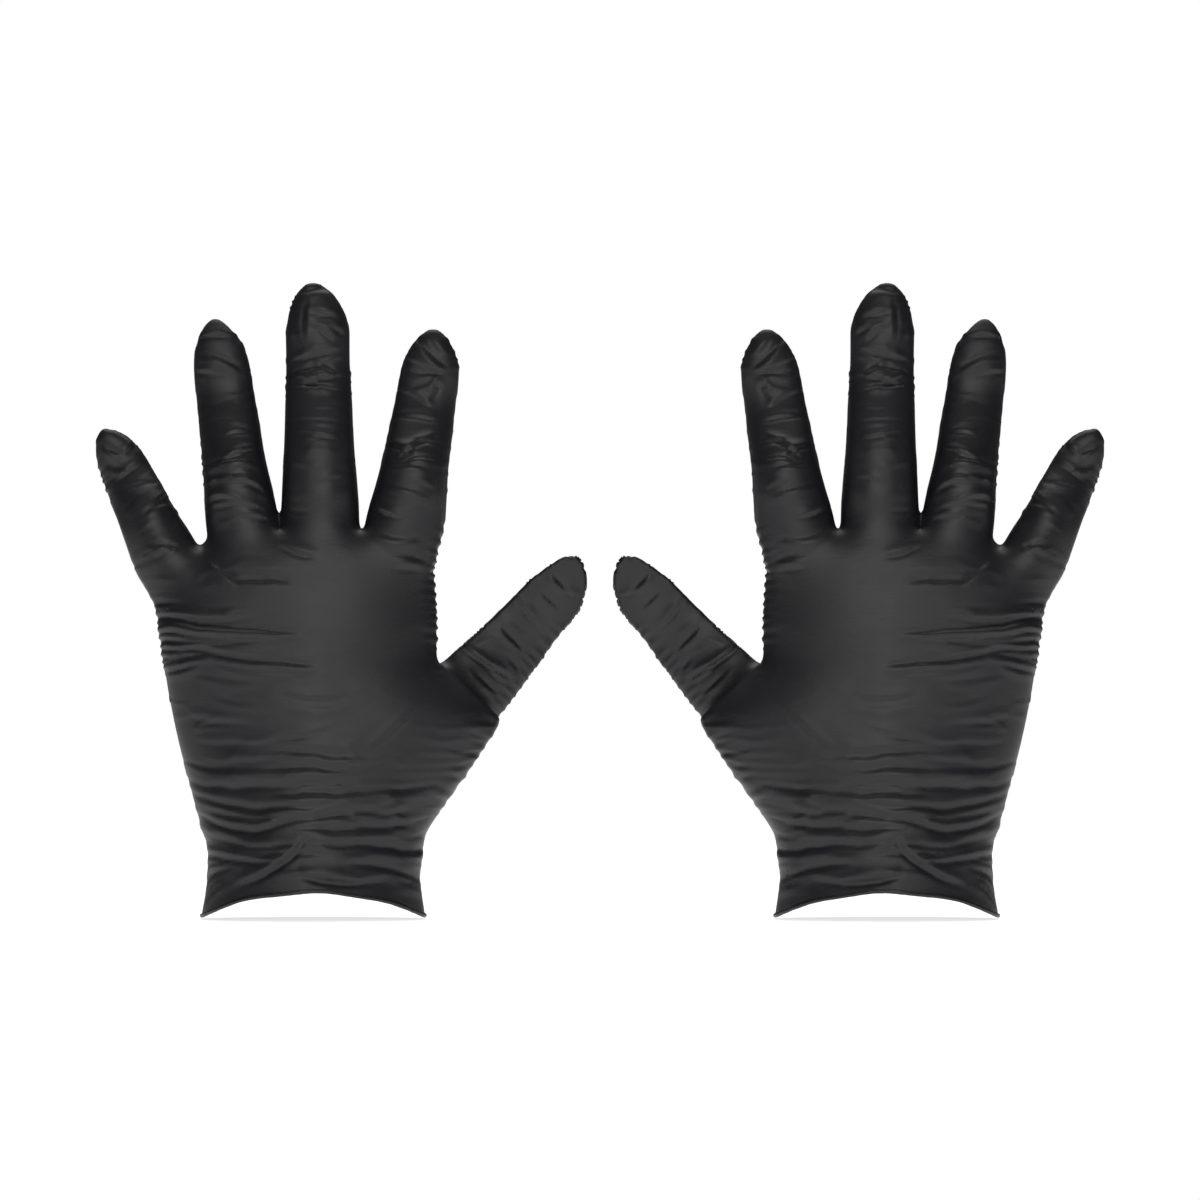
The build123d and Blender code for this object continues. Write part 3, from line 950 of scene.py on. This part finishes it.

# %% Making every piece, and hiding the parts of the frame it stands for
films = []
for side, sign in SIDES.items():
    hand = film_piece(f"{side}_hand_film", np.flatnonzero(hand_faces), sign)
    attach(hand, f"{side}_glove")
    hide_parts(f"{side}_hand", f"{side}_cuff")
    films.append(hand)
    mirror = np.array([-sign, 1, 1])
    for name, digit in DIGITS.items():
        levels = cut_levels(digit)
        for i, segment in enumerate(SEGMENTS[name]):
            next_body = f"{side}_{name}_{segment}"
            piece = film_piece(f"{next_body}_film", faces_of[f"{name}_{segment}"], sign)
            start = (digit["centres"][0] + digit["up"] * levels[i]) * mirror
            end = (digit["centres"][0] + digit["up"] * levels[i + 1]) * mirror
            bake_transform(piece)
            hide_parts(next_body)
            films.append(piece)
print("pieces of film:", len(films), "largest:", max(len(film.data.polygons) for film in films), "faces")

# %% [markdown]
# ## The rolled edge
# While the film is still soft, brushes roll its lower edge up on itself, which makes the bead
# that keeps it from tearing. It is swept along the cut edge of the cuff, a little thicker here
# and thinner there, because the roll is never even.

# %% Sweeping the bead along the cuff's edge
BEAD_RADIUS = 0.72 * MM
BEAD_SIDES = 12


def edge_loop():
    """The points of the cuff's lower edge, in order round the wrist."""
    bm = bmesh.new()
    bm.from_mesh(skin)
    start = min((e for e in bm.edges if e.is_boundary), key=lambda e: e.verts[0].co.z)
    loop = [start.verts[0], start.verts[1]]
    while True:
        onward = [e.other_vert(loop[-1]) for e in loop[-1].link_edges if e.is_boundary]
        onward = [v for v in onward if v is not loop[-2]]
        if not onward or onward[0] is loop[0]:
            break
        loop.append(onward[0])
    points = np.array([v.co for v in loop])
    bm.free()
    return points


def bead(side, sign, loop):
    for _ in range(3):
        loop = (np.roll(loop, 1, 0) + 2 * loop + np.roll(loop, -1, 0)) / 4
    along = np.roll(loop, -1, 0) - np.roll(loop, 1, 0)
    along = along / np.linalg.norm(along, axis=1)[:, None]
    outward = loop - loop.mean(0)
    outward = outward - (outward * along).sum(1)[:, None] * along
    outward = outward / np.linalg.norm(outward, axis=1)[:, None]
    upward = np.cross(along, outward)
    uneven = 1 + 0.14 * noise(loop / (6 * MM), 2) + 0.06 * noise(loop / (1.5 * MM), 4)
    rings = []
    for turn in np.linspace(0, 2 * pi, BEAD_SIDES, endpoint=False):
        rings.append(loop + (outward * cos(turn) + upward * sin(turn)) * (BEAD_RADIUS * uneven)[:, None])
    points = np.stack(rings, 1).reshape(-1, 3)
    points[:, 2] = np.maximum(points[:, 2], 0)
    n = len(loop)
    faces = []
    for i in range(n):
        for k in range(BEAD_SIDES):
            a, b = i * BEAD_SIDES + k, i * BEAD_SIDES + (k + 1) % BEAD_SIDES
            c, d = (i + 1) % n * BEAD_SIDES + (k + 1) % BEAD_SIDES, (i + 1) % n * BEAD_SIDES + k
            faces.append((a, b, c, d))
    edge = new_piece(f"{side}_rolled_edge", points * [-sign, 1, 1], faces, points)
    face_outward(edge.data)
    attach(edge, f"{side}_glove")
    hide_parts(f"{side}_cuff_bead")
    return edge


cuff_edge = edge_loop()
beads = [bead(side, sign, cuff_edge) for side, sign in SIDES.items()]
print("rolled edge:", len(cuff_edge), "points round the wrist")
print("lowest point of the film:", round(cuff_edge[:, 2].min() / MM, 2), "mm")

# %% [markdown]
# ## What the film is made of
# Black nitrile is dyed right through and isn't glossy: its outside is lightly textured so that
# it grips, which spreads the highlights. So it is a dark, fairly rough plastic with a fine
# grain. Its colour and shine drift a little from place to place, and fine creases too small
# for the mesh run across it. All of it is worked out from the place at rest.

# %% Helpers for the materials
def new_material(name):
    material = bpy.data.materials.new(name)
    material.use_nodes = True
    tree = material.node_tree
    shader = tree.nodes["Principled BSDF"]
    place = tree.nodes.new("ShaderNodeAttribute")
    place.attribute_name = "rest"
    return material, tree, shader, place.outputs["Vector"]


def noise_node(tree, place, stretch, scale, detail, rough=0.5):
    """Noise at so many swings per metre, stretched along some of the three directions."""
    mapping = tree.nodes.new("ShaderNodeMapping")
    mapping.inputs["Scale"].default_value = stretch
    tree.links.new(place, mapping.inputs["Vector"])
    texture = tree.nodes.new("ShaderNodeTexNoise")
    texture.inputs["Scale"].default_value = scale
    texture.inputs["Detail"].default_value = detail
    texture.inputs["Roughness"].default_value = rough
    tree.links.new(mapping.outputs["Vector"], texture.inputs["Vector"])
    return texture.outputs["Fac"]


def ramp(tree, value, stops):
    """A colour ramp over a value, with stops given as (place, colour)."""
    node = tree.nodes.new("ShaderNodeValToRGB")
    while len(node.color_ramp.elements) < len(stops):
        node.color_ramp.elements.new(0.5)
    for element, (at, colour) in zip(node.color_ramp.elements, stops):
        element.position = at
        element.color = (*colour, 1)
    tree.links.new(value, node.inputs["Fac"])
    return node.outputs["Color"]


def bump_node(tree, height, distance, strength, below=None):
    node = tree.nodes.new("ShaderNodeBump")
    node.inputs["Distance"].default_value = distance
    node.inputs["Strength"].default_value = strength
    tree.links.new(height, node.inputs["Height"])
    if below:
        tree.links.new(below, node.inputs["Normal"])
    return node.outputs["Normal"]


# %% [markdown]
# ### The film
# Three sizes of noise do the work. The largest, some centimetres across, makes the colour and
# the shine drift a little. The middle one is stretched crosswise and squeezed into thin lines,
# as creases. The smallest is the grain, a few tenths of a millimetre wide.

# %% Black nitrile film
BLACK_DEEP = (0.0056, 0.0055, 0.0072)
BLACK_FADED = (0.0092, 0.0090, 0.0116)
BLACK_ROLLED = (0.0055, 0.0053, 0.006)


def nitrile():
    material, tree, shader, place = new_material("black_nitrile_film")
    drift = noise_node(tree, place, (1, 1, 1), 38, 3)
    tree.links.new(ramp(tree, drift, [(0.3, BLACK_DEEP), (0.7, BLACK_FADED)]), shader.inputs["Base Color"])
    shine = ramp(tree, drift, [(0.25, (0.40, 0.40, 0.40)), (0.75, (0.50, 0.50, 0.50))])
    tree.links.new(shine, shader.inputs["Roughness"])
    crease = noise_node(tree, place, (0.25, 0.25, 1), 520, 2, 0.55)
    lines = ramp(tree, crease, [(0.44, (0, 0, 0)), (0.5, (1, 1, 1)), (0.56, (0, 0, 0))])
    grain = noise_node(tree, place, (1, 1, 1), 2600, 2)
    fine = bump_node(tree, lines, 0.00005, 0.2)
    tree.links.new(bump_node(tree, grain, 0.00003, 0.5, fine), shader.inputs["Normal"])
    return material


film_material = nitrile()
for film in films:
    film.data.materials.append(film_material)
print("film material:", len(film_material.node_tree.nodes), "nodes")

# %% [markdown]
# ### The rolled edge
# Rolled on itself the film lies several layers thick, so it is darker and a little shinier,
# with fine lines that run round it.

# %% Rolled edge
def rolled():
    material, tree, shader, place = new_material("rolled_nitrile_edge")
    drift = noise_node(tree, place, (1, 1, 1), 90, 2)
    colour = ramp(tree, drift, [(0.3, BLACK_ROLLED), (0.7, BLACK_DEEP)])
    tree.links.new(colour, shader.inputs["Base Color"])
    shine = ramp(tree, drift, [(0.3, (0.33, 0.33, 0.33)), (0.7, (0.42, 0.42, 0.42))])
    tree.links.new(shine, shader.inputs["Roughness"])
    turns = noise_node(tree, place, (0.3, 0.3, 3), 900, 2)
    tree.links.new(bump_node(tree, turns, 0.00008, 0.6), shader.inputs["Normal"])
    return material


bead_material = rolled()
for edge in beads:
    edge.data.materials.append(bead_material)
print("edge material:", len(bead_material.node_tree.nodes), "nodes")

# %% [markdown]
# ## Floor, light and camera
# The gloves stand on their cuffs on a white floor, which glows a little of its own. A large
# soft light in front brings out the middle of each hand and lets the gaps between the fingers go
# dark. One overhead, a little behind, whitens the floor. The surroundings are bright to the
# camera but dim to the film, because bright ones would wash all the way round the fingers.

# %% Floor
FLOOR_RADIUS = 1.0


def floor():
    mesh = bpy.data.meshes.new("floor")
    turns = np.linspace(0, 2 * pi, 96, endpoint=False)
    rim = [(FLOOR_RADIUS * cos(t), FLOOR_RADIUS * sin(t), 0) for t in turns]
    mesh.from_pydata(rim, [], [tuple(range(len(rim)))])
    plane = bpy.data.objects.new("floor", mesh)
    bpy.context.scene.collection.objects.link(plane)
    material = bpy.data.materials.new("pale_floor")
    material.use_nodes = True
    tree = material.node_tree
    shader = tree.nodes["Principled BSDF"]
    shader.inputs["Roughness"].default_value = 0.8
    shader.inputs["Emission Color"].default_value = (1, 1, 1, 1)
    shader.inputs["Emission Strength"].default_value = 0.72
    speck = tree.nodes.new("ShaderNodeTexNoise")
    speck.inputs["Scale"].default_value = 60
    tree.links.new(ramp(tree, speck.outputs["Fac"], [(0.3, (0.9, 0.9, 0.9)), (0.7, (0.93, 0.93, 0.93))]),
                   shader.inputs["Base Color"])
    mesh.materials.append(material)


floor()


# %% Lights
def soft_light(name, place, aim, size, power):
    light = bpy.data.lights.new(name, "AREA")
    light.shape = "DISK"
    light.size = size
    light.energy = power
    lamp = bpy.data.objects.new(name, light)
    lamp.location = place
    direction = Vector(aim) - Vector(place)
    lamp.rotation_euler = direction.to_track_quat("-Z", "Y").to_euler()
    bpy.context.scene.collection.objects.link(lamp)


middle = (0, 0, cad_box[1][2] / 2)
soft_light("front", (0, -1.7, 0.62), middle, 0.8, 7.0)
soft_light("above", (0, 0.5, 2.4), (0, 0, 0), 2.6, 34)

world = bpy.data.worlds.new("surroundings")
bpy.context.scene.world = world
world.use_nodes = True
tree = world.node_tree
dim = tree.nodes["Background"]
dim.inputs["Color"].default_value = (1, 1, 1, 1)
dim.inputs["Strength"].default_value = 0.09
bright = tree.nodes.new("ShaderNodeBackground")
bright.inputs["Color"].default_value = (1, 1, 1, 1)
bright.inputs["Strength"].default_value = 1.0
seen = tree.nodes.new("ShaderNodeLightPath")
choose = tree.nodes.new("ShaderNodeMixShader")
tree.links.new(seen.outputs["Is Camera Ray"], choose.inputs["Fac"])
tree.links.new(dim.outputs["Background"], choose.inputs[1])
tree.links.new(bright.outputs["Background"], choose.inputs[2])
tree.links.new(choose.outputs["Shader"], tree.nodes["World Output"].inputs["Surface"])

# %% [markdown]
# ### Camera
# It looks straight at the backs of the hands from three metres, through a long lens, so both
# gloves keep their true proportions. The view is a square a little wider than the pair.

# %% Camera
VIEW_WIDTH = 0.4
DISTANCE = 3.0
lens = bpy.data.cameras.new("camera")
lens.sensor_width = 36
lens.lens = 36 * DISTANCE / VIEW_WIDTH
camera = bpy.data.objects.new("camera", lens)
camera.location = (0, -DISTANCE, cad_box[1][2] / 2)
camera.rotation_euler = (pi / 2, 0, 0)
bpy.context.scene.collection.objects.link(camera)
bpy.context.scene.camera = camera
bpy.context.scene.view_settings.view_transform = "Standard"
bpy.context.scene.view_settings.look = "None"
